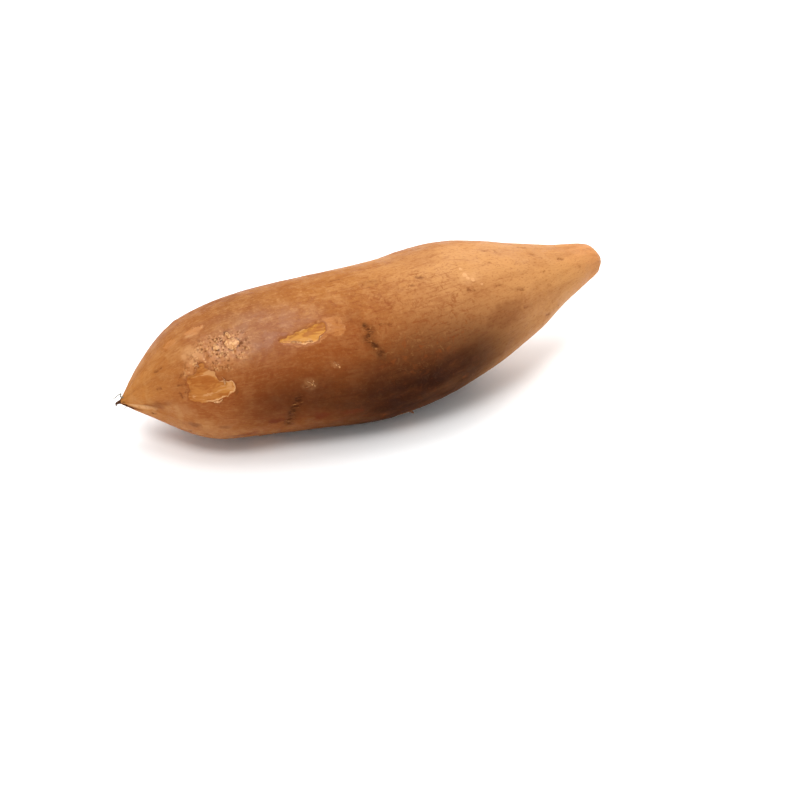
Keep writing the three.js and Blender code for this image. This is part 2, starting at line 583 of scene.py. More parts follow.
def scrape_relief(depth, straight):
    """Scrapes: flesh torn away in layers and strokes, inside a raised rim."""
    strokes = SCRAPE_STROKES_MM * lumps(straight * (0.25, 1, 1), 1.6, 10)
    layers = ease(-0.05, 0.15, lumps(straight * (0.45, 1, 1), 4.0, 13))
    torn = SCRAPE_DEPTH_MM + strokes + SCRAPE_LAYERS_MM * layers
    rim = ease(-1.3, -0.3, depth) * ease(0.1, -0.3, depth)
    return TORN_RIM_MM * rim - torn * ease(-0.15, 0.35, depth)


def crack_relief(depth, straight):
    """Cracks: a shallow strip full of deeper dashes, between two low rims."""
    dashes = ease(0.12, -0.18, lumps(straight * (0.45, 1, 1), 1.3, 14))
    rims = ease(-1.3, -0.4, depth) * ease(0.3, -0.3, depth)
    sunk = CRACK_DEPTH_MM + CRACK_DASHES_MM * dashes
    return CRACK_RIM_MM * rims - sunk * ease(-0.3, 0.5, depth)


def relief(skin, marks, straight):
    """How far the skin stands out of the smooth solid at each point, in millimetres."""
    place = skin.points / MM
    lengthways = straight * (0.06, 1, 1)
    crosswise = straight * (1, 0.15, 0.15)
    height = swellings(skin) + layered(place, UNEVEN_LAYERS) + layered(lengthways, GRAIN_LAYERS)
    wrinkles = layered(crosswise, CROSS_WRINKLES) + layered(place, NET_WRINKLES)
    height += marks["wrinkled"] * wrinkles
    height += marks["pore"] + bumps(skin, KNOBS)
    height += end_wrinkles(skin, lengthways, crosswise)
    height += scrape_relief(marks["scrape"], straight) + crack_relief(marks["crack"], straight)
    height -= GRAZE_DEPTH_MM * ease(-0.2, 0.3, marks["graze"])
    height += SCALE_HEIGHT_MM * ease(-0.2, 0.35, marks["scale"])
    height -= NICK_DEPTH_MM * ease(-0.1, 0.3, marks["nick"])
    height -= TAIL_EDGE_DEPTH_MM * ease(-0.1, 0.3, marks["tail_edge"])
    height -= PIT_DEPTH_MM * marks["pitted"] * ease(0.10, 0.50, lumps(place, 1.3, 11))
    off_the_ground = ease(0.02, 0.8, skin.points[..., 2] / MM)
    return height * off_the_ground


def stem_scar(skin):
    """How deep each point lies in the dry scar at the stub, where the root left its stem."""
    from_stub = (skin.walked[-1] - skin.walked)[:, None]
    return STEM_SCAR_MM - from_stub + 0.7 * lumps(skin.points / MM, 1.6, 50)


def skin_marks(skin):
    """Every mark on the skin, as one value at each point."""
    scrape = patch_depths(skin, SCRAPES, 0.6, 20)
    nick = scar_depths(skin, NICKS + small_nicks())
    return {
        "scrape": scrape,
        "graze": patch_depths(skin, GRAZES, 0.9, 30),
        "scale": np.maximum(patch_depths(skin, SCALES, 0.35, 40), stem_scar(skin)),
        "crack": scar_depths(skin, CRACKS),
        "nick": np.where(scrape > 0.2, -FAR_MM, nick),
        "tail_edge": scar_depths(skin, TAIL_EDGE),
        "stain": blotches(skin, STAINS, 0.6),
        "pale": blotches(skin, PALE_SPOTS_AND_PAINTED_LIGHT, 0.35),
        "pitted": blotches(skin, PITTED_ZONES, 0.25),
        "rubbed": soft_zones(skin, RUBBED_ZONES, 5, 8),
        "wrinkled": blotches(skin, WRINKLED_ZONES, 0.2),
        "painted_shade": soft_zones(skin, PAINTED_SHADE_ZONES, 9, 12),
        "ruddy": soft_zones(skin, RUDDY_ZONES, 9, 12),
        "torn": blotches(skin, TORN_ZONES, 0.3),
        "pore": np.maximum(bumps(skin, PORES), bumps(skin, small_pores())),
    }


# ---------------------------------------------------------------- meshes

def add_mesh(name, points, faces):
    """A smooth mesh object from points in metres and faces as lists of point numbers."""
    mesh = bpy.data.meshes.new(name)
    mesh.from_pydata([tuple(point) for point in points], [], faces)
    mesh.polygons.foreach_set("use_smooth", [True] * len(mesh.polygons))
    mesh.update()
    piece = bpy.data.objects.new(name, mesh)
    bpy.context.scene.collection.objects.link(piece)
    return piece


def finish_piece(piece, material):
    """Gives a piece its material and slot, and lets it ride on the root."""
    piece.data.materials.append(material)
    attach(piece, "root")


def ring_faces(rings, sides):
    """Faces of a closed skin of rings, with a point after the last ring for each end."""
    faces = []
    for i in range(rings - 1):
        for j in range(sides):
            k = (j + 1) % sides
            faces.append((i * sides + j, i * sides + k, (i + 1) * sides + k, (i + 1) * sides + j))
    first_end, last_end = rings * sides, rings * sides + 1
    last = (rings - 1) * sides
    for j in range(sides):
        k = (j + 1) % sides
        faces.append((first_end, k, j))
        faces.append((last_end, last + j, last + k))
    return faces


def with_ends(values):
    """Ring values as one list, then the mean of the first ring and of the last."""
    flat = values.reshape(RINGS * SIDES, -1)
    return np.concatenate([flat, [flat[:SIDES].mean(0)], [flat[-SIDES:].mean(0)]])


def add_value(mesh, name, values):
    """Stores one number at each point, under that name."""
    layer = mesh.attributes.new(name, "FLOAT", "POINT")
    layer.data.foreach_set("value", with_ends(values).ravel().astype(np.float32))


def build_skin(skin, marks, straight, points):
    """The root's whole skin as one closed mesh, with its marks stored at each point."""
    piece = add_mesh("yacon_skin", with_ends(points), ring_faces(RINGS, SIDES))
    mesh = piece.data
    layer = mesh.attributes.new("straight", "FLOAT_VECTOR", "POINT")
    layer.data.foreach_set("vector", with_ends(straight).ravel().astype(np.float32))
    for name, values in marks.items():
        add_value(mesh, name, values)
    share = skin.along[:, None] / skin.along[-1] * np.ones(SIDES)
    add_value(mesh, "share", share)
    away_from_ends = ease(0.03, 0.14, share) * ease(0.95, 0.5, share)
    add_value(mesh, "streaked", 0.12 + 0.88 * away_from_ends)
    return piece


# ---------------------------------------------------------------- shader helpers

class Kit:
    """Short ways to add nodes to one tree and to link them."""

    def __init__(self, tree):
        self.tree = tree

    def add(self, kind, **settings):
        """A new node of that kind, with these settings."""
        node = self.tree.nodes.new("ShaderNode" + kind)
        for name, value in settings.items():
            setattr(node, name, value)
        return node

    def feed(self, node, socket, value):
        """Links another node's socket to this one, or sets a plain value on it."""
        if isinstance(value, bpy.types.NodeSocket):
            self.tree.links.new(value, node.inputs[socket])
        else:
            node.inputs[socket].default_value = value

    def math(self, operation, first, second=0.0, clamp=False):
        """One sum on two numbers."""
        node = self.add("Math", operation=operation, use_clamp=clamp)
        self.feed(node, 0, first)
        self.feed(node, 1, second)
        return node.outputs[0]

    def times(self, first, *others):
        """All the values multiplied together."""
        for other in others:
            first = self.math("MULTIPLY", first, other)
        return first

    def stretch(self, place, factors):
        """The place drawn out or squeezed along each axis."""
        node = self.add("VectorMath", operation="MULTIPLY")
        self.feed(node, 0, place)
        self.feed(node, 1, factors)
        return node.outputs[0]

    def mix(self, under, over, *shares):
        """One colour laid over another, as strongly as the shares multiplied together."""
        node = self.add("Mix", data_type="RGBA", clamp_factor=True)
        self.feed(node, 0, self.times(*shares))
        self.feed(node, 6, under)
        self.feed(node, 7, over)
        return node.outputs[2]

    def remap(self, value, low, high, to_low=0.0, to_high=1.0):
        """The value eased from one range to another, and held at its ends."""
        node = self.add("MapRange", interpolation_type="SMOOTHSTEP")
        for socket, number in enumerate((value, low, high, to_low, to_high)):
            self.feed(node, socket, number)
        return node.outputs[0]

    def noise(self, place, size, detail=2.0, rough=0.5, bend=0.0):
        """Cloudy noise around 0.5, in clouds about that size across."""
        node = self.add("TexNoise")
        self.feed(node, "Vector", place)
        self.feed(node, "Scale", 1 / size)
        self.feed(node, "Detail", detail)
        self.feed(node, "Roughness", rough)
        self.feed(node, "Distortion", bend)
        return node.outputs["Fac"]

    def ramp(self, value, stops):
        """A colour picked by the value from stops of (position, colour)."""
        node = self.add("ValToRGB")
        self.feed(node, "Fac", value)
        elements = node.color_ramp.elements
        while len(elements) < len(stops):
            elements.new(0.5)
        for element, (position, tint) in zip(elements, stops):
            element.position = position
            element.color = tint
        return node.outputs["Color"]

    def mark(self, name, output="Fac"):
        """What the mesh stores at each point under that name."""
        return self.add("Attribute", attribute_name=name).outputs[output]

    def millimetres(self):
        """The place on the piece itself, in millimetres."""
        return self.stretch(self.add("TexCoord").outputs["Object"], (1 / MM, 1 / MM, 1 / MM))

    def use(self, group, **inputs):
        """Places a node group here, with these values on its inputs."""
        node = self.add("Group", node_tree=group)
        for name, value in inputs.items():
            self.feed(node, name, value)
        return node.outputs

    def bump(self, height, distance, strength, under=None, sunk=False):
        """A normal tilted by the height, raised or sunk by that many millimetres."""
        node = self.add("Bump", invert=sunk)
        self.feed(node, "Strength", strength)
        self.feed(node, "Distance", distance * MM)
        self.feed(node, "Height", height)
        if under is not None:
            self.feed(node, "Normal", under)
        return node.outputs["Normal"]


def new_group(name, inputs, outputs):
    """An empty shader group: inputs as name to (kind, value), outputs as name to kind.

    Returns the group, its kit, the sockets that bring its inputs, and its last node."""
    group = bpy.data.node_groups.new(name, "ShaderNodeTree")
    for socket, (kind, value) in inputs.items():
        made = group.interface.new_socket(socket, in_out="INPUT", socket_type="NodeSocket" + kind)
        if value is not None:
            made.default_value = value
    for socket, kind in outputs.items():
        group.interface.new_socket(socket, in_out="OUTPUT", socket_type="NodeSocket" + kind)
    source = group.nodes.new("NodeGroupInput").outputs
    return group, Kit(group), source, group.nodes.new("NodeGroupOutput")


def new_material(name):
    """A material with only its output and its principled shader."""
    material = bpy.data.materials.new(name)
    material.use_nodes = True
    shader = material.node_tree.nodes["Principled BSDF"]
    return material, Kit(material.node_tree), shader


# ---------------------------------------------------------------- shared effects

def long_grain_group():
    """Fibres that run along X: their height, and the dark furrows between them."""
    group, kit, source, result = new_group(
        "long_grain",
        {"Place": ("Vector", None), "Length": ("Float", 16.0), "Width": ("Float", 0.8)},
        {"Height": "Float", "Furrows": "Float"},
    )
    scale = kit.add("CombineXYZ")
    kit.feed(scale, 0, kit.math("DIVIDE", 1.0, source["Length"]))
    across = kit.math("DIVIDE", 1.0, source["Width"])
    kit.feed(scale, 1, across)
    kit.feed(scale, 2, across)
    fibres = kit.noise(kit.stretch(source["Place"], scale.outputs[0]), 1.0, 3.0, 0.6, 0.15)
    kit.feed(result, "Height", fibres)
    kit.feed(result, "Furrows", kit.remap(fibres, 0.47, 0.30))
    return group


def mottle_group():
    """Soft clouds, from 0 to 1, that change a colour or a gloss from place to place."""
    group, kit, source, result = new_group(
        "mottle",
        {"Place": ("Vector", None), "Size": ("Float", 8.0), "Share": ("Float", 0.5)},
        {"Mask": "Float"},
    )
    scaled = kit.add("VectorMath", operation="SCALE")
    kit.feed(scaled, 0, source["Place"])
    kit.feed(scaled, 3, kit.math("DIVIDE", 1.0, source["Size"]))
    clouds = kit.noise(scaled.outputs[0], 1.0, 4.0, 0.55, 0.4)
    edge = kit.math("SUBTRACT", 0.72, kit.times(source["Share"], 0.44))
    low = kit.math("SUBTRACT", edge, 0.12)
    high = kit.math("ADD", edge, 0.12)
    kit.feed(result, "Mask", kit.remap(clouds, low, high))
    return group


def specks_group():
    """Small round specks, one to a cell, in only some of the cells."""
    group, kit, source, result = new_group(
        "specks",
        {
            "Place": ("Vector", None), "Spacing": ("Float", 1.6),
            "Size": ("Float", 0.3), "Share": ("Float", 0.4),
        },
        {"Mask": "Float"},
    )
    cells = kit.add("TexVoronoi")
    kit.feed(cells, "Vector", source["Place"])
    kit.feed(cells, "Scale", kit.math("DIVIDE", 1.0, source["Spacing"]))
    reach = kit.math("DIVIDE", source["Size"], kit.times(source["Spacing"], 2.0))
    spot = kit.remap(cells.outputs["Distance"], reach, kit.times(reach, 0.4))
    pick = kit.add("SeparateColor")
    kit.feed(pick, 0, cells.outputs["Color"])
    chosen = kit.math("LESS_THAN", pick.outputs[0], source["Share"])
    kit.feed(result, "Mask", kit.times(spot, chosen))
    return group


def torn_edge_group():
    """The inside of a patch from its depth, the line along its edge and a soft halo."""
    group, kit, source, result = new_group(
        "torn_edge",
        {
            "Depth": ("Float", 0.0), "Place": ("Vector", None), "Ragged": ("Float", 0.4),
            "Rim": ("Float", 0.4),
        },
        {"Inside": "Float", "Edge": "Float", "Halo": "Float"},
    )
    coarse = kit.math("SUBTRACT", kit.noise(source["Place"], 1.1, 3.0, 0.6), 0.5)
    shift = kit.times(coarse, source["Ragged"], 2.0)
    depth = kit.math("ADD", source["Depth"], shift)
    inside = kit.remap(depth, -0.06, 0.10)
    past = kit.remap(depth, source["Rim"], kit.math("ADD", source["Rim"], 0.35))
    kit.feed(result, "Inside", inside)
    kit.feed(result, "Edge", kit.math("SUBTRACT", inside, past, clamp=True))
    kit.feed(result, "Halo", kit.remap(depth, -0.9, 0.0))
    return group


LONG_GRAIN = long_grain_group()
MOTTLE = mottle_group()
SPECKS = specks_group()
TORN_EDGE = torn_edge_group()


# ---------------------------------------------------------------- materials

BARK_ALONG = [  # the bark's own colour from the tip to the stub
    (0.00, srgb(180, 117, 55)),
    (0.10, srgb(156, 96, 47)),
    (0.22, srgb(137, 83, 36)),
    (0.34, srgb(147, 89, 37)),
    (0.45, srgb(158, 101, 48)),
    (0.62, srgb(183, 130, 78)),
    (0.90, srgb(188, 132, 77)),
    (1.00, srgb(190, 127, 76)),
]
RED_BARK = srgb(127, 65, 27)
TAN_BARK = srgb(188, 136, 82)
DARK_BARK = srgb(76, 38, 14)
RUDDY_BARK = srgb(130, 52, 19)
# The deep brown of the painted shade on the lower front and underside.
PAINTED_SHADE_BROWN = srgb(42, 15, 3)
BLUSH = srgb(94, 38, 10)
FLESH_ALONG = [  # the bared flesh dries and darkens towards the tail
    (0.14, srgb(168, 106, 50)),
    (0.28, srgb(188, 128, 54)),
]
FLESH_DEEP = srgb(143, 76, 27)
FLESH_GRAZED = srgb(178, 116, 62)
TORN_RIM = srgb(200, 148, 98)
UNDER_BARK = srgb(176, 117, 70)
DRY_SCALE = srgb(206, 154, 100)
SCAR_DARK = srgb(56, 27, 10)
NICK_BROWN = srgb(104, 54, 20)
PIT_BROWN = srgb(84, 42, 10)
PALE_BARK = srgb(204, 154, 104)
PORE_PALE = srgb(204, 150, 100)
DEAD_DARK = srgb(66, 34, 10)
DEAD_BROWN = srgb(112, 64, 22)
HAIR_GREY = srgb(104, 104, 84)
HAIR_BROWN = srgb(78, 62, 38)
FLAKE_TAN = srgb(194, 142, 92)
FLAKE_EDGE = srgb(136, 80, 36)
STUB_BROWN = srgb(106, 60, 24)
STUB_CORE = srgb(196, 150, 94)


def bark_colour(kit, straight, place):
    """Sound bark: brown to tan along the root, clouded, streaked and finely flecked, with painted
    shade darkening its lower front and underside.
    """
    bark = kit.ramp(kit.mark("share"), BARK_ALONG)
    long_place = kit.stretch(straight, (0.35, 1, 1))
    red = kit.use(MOTTLE, Place=long_place, Size=9.0, Share=0.42)["Mask"]
    bark = kit.mix(bark, RED_BARK, red, 0.30)
    tan = kit.use(MOTTLE, Place=place, Size=5.0, Share=0.42)["Mask"]
    bark = kit.mix(bark, TAN_BARK, tan, 0.30)
    streaked = kit.mark("streaked")
    fine = kit.use(LONG_GRAIN, Place=straight, Length=5.0, Width=0.5)
    bark = kit.mix(bark, RED_BARK, fine["Furrows"], streaked, 0.55)
    broad = kit.use(LONG_GRAIN, Place=straight, Length=9.0, Width=1.7)
    bark = kit.mix(bark, RED_BARK, broad["Furrows"], streaked, 0.32)
    crests = kit.remap(broad["Height"], 0.58, 0.72)
    bark = kit.mix(bark, TAN_BARK, crests, streaked, 0.26)
    grains = kit.noise(kit.stretch(straight, (0.6, 1, 1)), 0.8, 3.0, 0.65)
    bark = kit.mix(bark, RED_BARK, kit.remap(grains, 0.46, 0.34, 0.0, 0.36))
    bark = kit.mix(bark, TAN_BARK, kit.remap(grains, 0.54, 0.66, 0.0, 0.26))
    bark = kit.mix(bark, RUDDY_BARK, kit.mark("ruddy"), 0.50)
    cloudy = kit.remap(kit.noise(long_place, 7.0, 3.0, 0.55), 0.3, 0.7, 0.86, 1.0)
    # Painted shade: the lower front and the underside darkened towards a deep brown.
    bark = kit.mix(bark, PAINTED_SHADE_BROWN, kit.mark("painted_shade"), cloudy)
    drawn_out = kit.stretch(straight, (0.4, 1, 1))
    flecks = kit.use(SPECKS, Place=drawn_out, Spacing=1.4, Size=0.40, Share=0.26)["Mask"]
    return kit.mix(bark, DARK_BARK, flecks, 0.32), fine["Height"]


def wrinkle_colour(kit, colour, place):
    """The fine net of lighter and darker wrinkles on the thick part of the root."""
    zone = kit.math("ADD", kit.mark("wrinkled"), 0.18, clamp=True)
    net = kit.noise(place, 2.4, 5.0, 0.70, 0.8)
    colour = kit.mix(colour, RED_BARK, kit.remap(net, 0.47, 0.37), zone, 0.56)
    colour = kit.mix(colour, TAN_BARK, kit.remap(net, 0.55, 0.66), zone, 0.16)
    return colour, kit.times(net, kit.math("ADD", zone, 0.5))


def worn_colour(kit, colour, place):
    """The pitted shoulder, where the bark has gone in crumbs, and the pale pores."""
    pitted = kit.mark("pitted")
    worn = kit.use(MOTTLE, Place=place, Size=2.2, Share=0.62)["Mask"]
    colour = kit.mix(colour, UNDER_BARK, worn, pitted, 0.8)
    crowd = kit.remap(kit.noise(place, 3.0, 2.0, 0.6), 0.41, 0.54)
    coarse = kit.use(SPECKS, Place=place, Spacing=1.25, Size=1.5, Share=0.66)["Mask"]
    small = kit.use(SPECKS, Place=place, Spacing=0.7, Size=0.75, Share=0.6)["Mask"]
    pits = kit.times(kit.math("MAXIMUM", coarse, small), crowd, pitted)
    colour = kit.mix(colour, PIT_BROWN, pits, 0.80)
    crumbs = kit.use(SPECKS, Place=place, Spacing=0.9, Size=1.1, Share=0.42)["Mask"]
    colour = kit.mix(colour, DRY_SCALE, crumbs, pitted, 0.55)

    # Pale patches round pores and rootlets; near the tail on the lower side this is painted light
    # from the floor.
    patchy = kit.math("ADD", kit.times(worn, 0.5), 0.4)
    colour = kit.mix(colour, PALE_BARK, patchy, kit.mark("pale"), 0.9)

    pore = kit.remap(kit.mark("pore"), 0.07, 0.2)
    clouds = kit.use(MOTTLE, Place=place, Size=0.9, Share=0.7)["Mask"]
    crown = kit.math("ADD", kit.times(clouds, 0.6), 0.35)
    return kit.mix(colour, PORE_PALE, pore, crown), pits


def graze_colour(kit, colour, straight, place):
    """Grazes: the thin outer bark rubbed away in strokes along the root."""
    depth = kit.mark("graze")
    graze = kit.use(TORN_EDGE, Depth=depth, Place=place, Ragged=0.9, Rim=0.3)["Inside"]
    drawn_out = kit.stretch(straight, (0.3, 1, 1))
    strokes = kit.use(MOTTLE, Place=drawn_out, Size=1.6, Share=0.55)["Mask"]
    shreds = kit.noise(kit.stretch(straight, (0.5, 1, 1)), 1.7, 4.0, 0.6, 0.8)
    bared = kit.mix(FLESH_GRAZED, UNDER_BARK, kit.remap(shreds, 0.44, 0.58))
    bared = kit.mix(bared, RED_BARK, kit.remap(shreds, 0.44, 0.36), 0.6)
    bared = kit.mix(bared, TORN_RIM, kit.remap(shreds, 0.62, 0.70), 0.7)
    rubbed = kit.math("ADD", 0.26, kit.times(strokes, 0.50))
    return kit.mix(colour, bared, graze, rubbed)


def scrape_colour(kit, colour, straight, place):
    """Scrapes down to the flesh, with a dark rim of bark and a pale torn edge."""
    depth = kit.mark("scrape")
    scrape = kit.use(TORN_EDGE, Depth=depth, Place=place, Ragged=0.35, Rim=0.25)
    flesh = kit.ramp(kit.mark("share"), FLESH_ALONG)
    fibres = kit.use(LONG_GRAIN, Place=straight, Length=6.0, Width=1.0)["Height"]
    layers = kit.noise(kit.stretch(straight, (0.4, 1, 1)), 3.2, 4.0, 0.6, 1.2)
    flesh = kit.mix(flesh, FLESH_DEEP, kit.remap(fibres, 0.50, 0.36), 0.55)
    flesh = kit.mix(flesh, FLESH_DEEP, kit.remap(layers, 0.50, 0.40), 0.65)
    flesh = kit.mix(flesh, TORN_RIM, kit.remap(layers, 0.56, 0.64), 0.50)
    colour = kit.mix(colour, RED_BARK, scrape["Halo"], 0.60)
    colour = kit.mix(colour, flesh, scrape["Inside"])
    return kit.mix(colour, TORN_RIM, scrape["Edge"], kit.mark("torn"))


def scar_colour(kit, colour, straight, place):
    """Dry scales, nicks and cracks, and the dark edge under the tail."""
    depth = kit.mark("scale")
    scale = kit.use(TORN_EDGE, Depth=depth, Place=place, Ragged=0.45, Rim=0.2)
    patchy = kit.remap(kit.noise(place, 1.6, 2.0, 0.5), 0.42, 0.58)
    colour = kit.mix(colour, DARK_BARK, scale["Halo"], patchy, 0.8)
    crumbs = kit.remap(kit.noise(place, 0.9, 3.0, 0.6), 0.42, 0.58)
    crumbly = kit.mix(UNDER_BARK, DRY_SCALE, crumbs)
    colour = kit.mix(colour, crumbly, scale["Inside"])

    broken = kit.remap(kit.noise(place, 1.1, 3.0, 0.65), 0.38, 0.56, 0.25, 1.0)
    depth = kit.mark("nick")
    nick = kit.use(TORN_EDGE, Depth=depth, Place=place, Ragged=0.55, Rim=0.2)
    colour = kit.mix(colour, RED_BARK, nick["Halo"], 0.16)
    colour = kit.mix(colour, NICK_BROWN, nick["Inside"], broken, 0.50)

    depth = kit.mark("crack")
    strip = kit.remap(depth, -0.7, 0.9)
    dashes = kit.noise(kit.stretch(straight, (0.30, 1, 1)), 0.8, 3.0, 0.6, 0.6)
    crack = kit.times(kit.remap(dashes, 0.54, 0.42), strip)
    colour = kit.mix(colour, DARK_BARK, kit.remap(depth, -2.4, 0.6), 0.34)
    colour = kit.mix(colour, SCAR_DARK, crack, 0.66)
    colour = kit.mix(colour, TAN_BARK, kit.remap(dashes, 0.61, 0.68), strip, 0.55)

    depth = kit.mark("tail_edge")
    tail = kit.use(TORN_EDGE, Depth=depth, Place=place, Ragged=0.5, Rim=0.2)
    colour = kit.mix(colour, RED_BARK, tail["Halo"], 0.3)
    colour = kit.mix(colour, DEAD_DARK, tail["Inside"], 0.85)
    return colour, scale["Inside"], crack


def root_skin():
    """The whole skin: bark with its stains, wrinkles, pores, scars, grazes and scrapes."""
    material, kit, shader = new_material("root_skin")
    straight = kit.mark("straight", "Vector")
    place = kit.millimetres()
    colour, grain = bark_colour(kit, straight, place)
    colour, net = wrinkle_colour(kit, colour, place)
    colour = kit.mix(colour, BLUSH, kit.mark("stain"), 0.80)
    colour, pits = worn_colour(kit, colour, place)
    colour = graze_colour(kit, colour, straight, place)
    colour = scrape_colour(kit, colour, straight, place)
    colour, scale, crack = scar_colour(kit, colour, straight, place)
    kit.feed(shader, "Base Color", colour)

    gloss = kit.use(MOTTLE, Place=place, Size=6.0, Share=0.5)["Mask"]
    rough = kit.remap(gloss, 0, 1, 0.42, 0.56)
    duller = [(kit.mark("pitted"), 0.10), (scale, 0.30), (crack, 0.25), (kit.mark("painted_shade"), 0.30)]
    for mask, more in duller:
        rough = kit.math("ADD", rough, kit.times(mask, more))
    kit.feed(shader, "Roughness", rough)
    kit.feed(shader, "Specular IOR Level", 0.05)
    film = kit.remap(gloss, 0, 1, 0.65, 0.4)
    off_pits = kit.remap(pits, 0, 1, 1.0, 0.2)
    kit.feed(shader, "Coat Weight", kit.times(kit.mark("rubbed"), film, off_pits))
    kit.feed(shader, "Coat Roughness", 0.42)

    normal = kit.bump(grain, 0.12, 0.7)
    normal = kit.bump(net, 0.28, 0.7, normal)
    normal = kit.bump(kit.noise(place, 0.5, 2.0, 0.6), 0.06, 0.6, normal)
    normal = kit.bump(crack, 0.16, 0.6, normal, sunk=True)
    kit.feed(shader, "Normal", kit.bump(pits, 0.14, 0.5, normal, sunk=True))
    return material


def dry_tail():
    """Dead, shrivelled root: nearly black brown, fibrous and dull."""
    material, kit, shader = new_material("dry_tail")
    place = kit.millimetres()
    fibres = kit.use(LONG_GRAIN, Place=place, Length=2.5, Width=0.3)
    patches = kit.use(MOTTLE, Place=place, Size=0.9, Share=0.35)["Mask"]
    colour = kit.mix(DEAD_DARK, DEAD_BROWN, patches, 0.8)
    kit.feed(shader, "Base Color", kit.mix(colour, SCAR_DARK, fibres["Furrows"], 0.6))
    kit.feed(shader, "Roughness", kit.remap(patches, 0, 1, 0.62, 0.8))
    kit.feed(shader, "Normal", kit.bump(fibres["Height"], 0.10, 0.8))
    kit.feed(shader, "Specular IOR Level", 0.15)
    return material


def dry_hair():
    """A dried hair root: grey to brown along it, with a rough papery bark."""
    material, kit, shader = new_material("dry_hair")
    place = kit.millimetres()
    patches = kit.use(MOTTLE, Place=place, Size=1.4, Share=0.5)["Mask"]
    grain = kit.use(LONG_GRAIN, Place=place, Length=1.2, Width=0.12)
    colour = kit.mix(HAIR_GREY, HAIR_BROWN, patches)
    kit.feed(shader, "Base Color", kit.mix(colour, DEAD_DARK, grain["Furrows"], 0.4))
    kit.feed(shader, "Roughness", kit.remap(patches, 0, 1, 0.6, 0.75))
    kit.feed(shader, "Normal", kit.bump(grain["Height"], 0.04, 0.7))
    return material


def loose_flake():
    """A thin flake of loose bark: tan, browner where it is worn, with long fibres."""
    material, kit, shader = new_material("loose_flake")
    place = kit.millimetres()
    worn = kit.use(MOTTLE, Place=place, Size=0.8, Share=0.45)["Mask"]
    fibres = kit.use(LONG_GRAIN, Place=place, Length=3.0, Width=0.25)
    colour = kit.mix(FLAKE_TAN, FLAKE_EDGE, worn, 0.7)
    kit.feed(shader, "Base Color", kit.mix(colour, STUB_BROWN, fibres["Furrows"], 0.5))
    kit.feed(shader, "Roughness", kit.remap(worn, 0, 1, 0.5, 0.68))
    kit.feed(shader, "Normal", kit.bump(fibres["Height"], 0.06, 0.7))
    kit.feed(shader, "Specular IOR Level", 0.35)
    return material


def rootlet_bark():
    """A broken rootlet: brown bark outside and pale wood where it snapped."""
    material, kit, shader = new_material("rootlet_bark")
    place = kit.millimetres()
    core = kit.mark("core")
    grain = kit.use(LONG_GRAIN, Place=place, Length=1.5, Width=0.25)
    bark = kit.mix(STUB_BROWN, DEAD_DARK, grain["Furrows"], 0.6)
    specks = kit.use(SPECKS, Place=place, Spacing=0.35, Size=0.16, Share=0.5)["Mask"]
    wood = kit.mix(STUB_CORE, STUB_BROWN, specks, 0.6)
    kit.feed(shader, "Base Color", kit.mix(bark, wood, core))
    kit.feed(shader, "Roughness", kit.remap(core, 0, 1, 0.55, 0.75))
    kit.feed(shader, "Normal", kit.bump(grain["Height"], 0.06, 0.8))
    return material


# ---------------------------------------------------------------- small loose pieces

# Loose flakes of bark: along, turn, heading in degrees (0 towards the stub, 90 round to the
# front), length and width in millimetres, and how far it lifts, in degrees.
FLAKES = [
    (31.5, 64.2, 70, 3.2, 1.1, 24),
    (34.8, 72.0, 85, 3.0, 0.6, 16),
    (33.2, 77.0, 140, 2.4, 0.6, 20),
    (60.4, 77.4, 40, 1.9, 0.55, 38),
    (61.8, 79.2, 75, 1.6, 0.5, 42),
    (60.2, 80.4, 10, 1.7, 0.45, 36),
    (62.0, 77.6, 120, 1.2, 0.45, 40),
    (70.4, 66.4, 60, 1.8, 0.5, 38),
    (71.4, 68.0, 10, 1.4, 0.45, 36),
    (29.4, 81.2, 165, 3.4, 0.8, 22),
    (24.4, 47.2, 20, 1.8, 0.8, 30),
    (58.5, 47.4, 8, 4.2, 0.9, 22),
    (63.5, 49.0, 4, 3.8, 0.8, 26),
    (67.4, 46.6, -35, 2.4, 0.7, 24),
    (38.0, 33.5, 0, 2.2, 1.3, 16),
    (37.0, 26.6, 75, 1.6, 0.8, 20),
    (32.3, 34.4, 30, 1.7, 0.9, 24),
    (34.2, 41.5, 10, 1.3, 0.7, 28),
    (120.0, -83.0, 30, 3.4, 1.0, 24),
    (129.5, -85.0, 80, 3.0, 0.9, 26),
    (124.0, -94.5, 175, 3.8, 1.0, 22),
    (86.5, -103.0, 15, 2.6, 1.3, 20),
    (151.0, -111.0, 10, 2.6, 0.8, 24),
    (49.5, 148.0, 5, 2.8, 0.8, 18),
]

# Broken rootlets: along, turn, length and thickness in millimetres, and their lean.
ROOTLETS = [
    (143.0, -88.0, 1.8, 1.1, 20),
    (34.0, -128.0, 2.4, 0.9, 35),
    (99.2, -89.0, 1.2, 0.8, 15),
    (72.0, -104.0, 1.4, 0.7, 30),
    (102.0, 138.0, 1.3, 0.8, 40),
]

# Hair roots: along, turn and thickness where each starts, then its bends in millimetres from
# there: along the root, sideways to the back, and up.
HAIRS = {
    "tail_hair": (2.0, 12, 0.30, [
        (-0.8, 0.2, 0.35), (-0.6, 0.3, 1.6), (-2.7, 0.5, 0.3), (-3.5, 0.5, -0.1), (-4.9, 0.7, 0),
    ]),
    "tail_hair_low": (2.6, 150, 0.15, [(-0.7, -0.2, -0.6), (-1.5, 0.3, -1.2), (-1.9, 0.5, -2.3)]),
    "back_hair": (60, -128, 0.16, [
        (1.2, 0.8, 0.1), (3.0, 1.3, -0.8), (4.2, 1.2, -2.2), (6.4, 1.9, -2.8),
    ]),
    "belly_hair": (112, -150, 0.14, [(0.8, 1.0, -0.5), (2.4, 1.9, -0.7), (3.1, 3.2, -1.4)]),
}

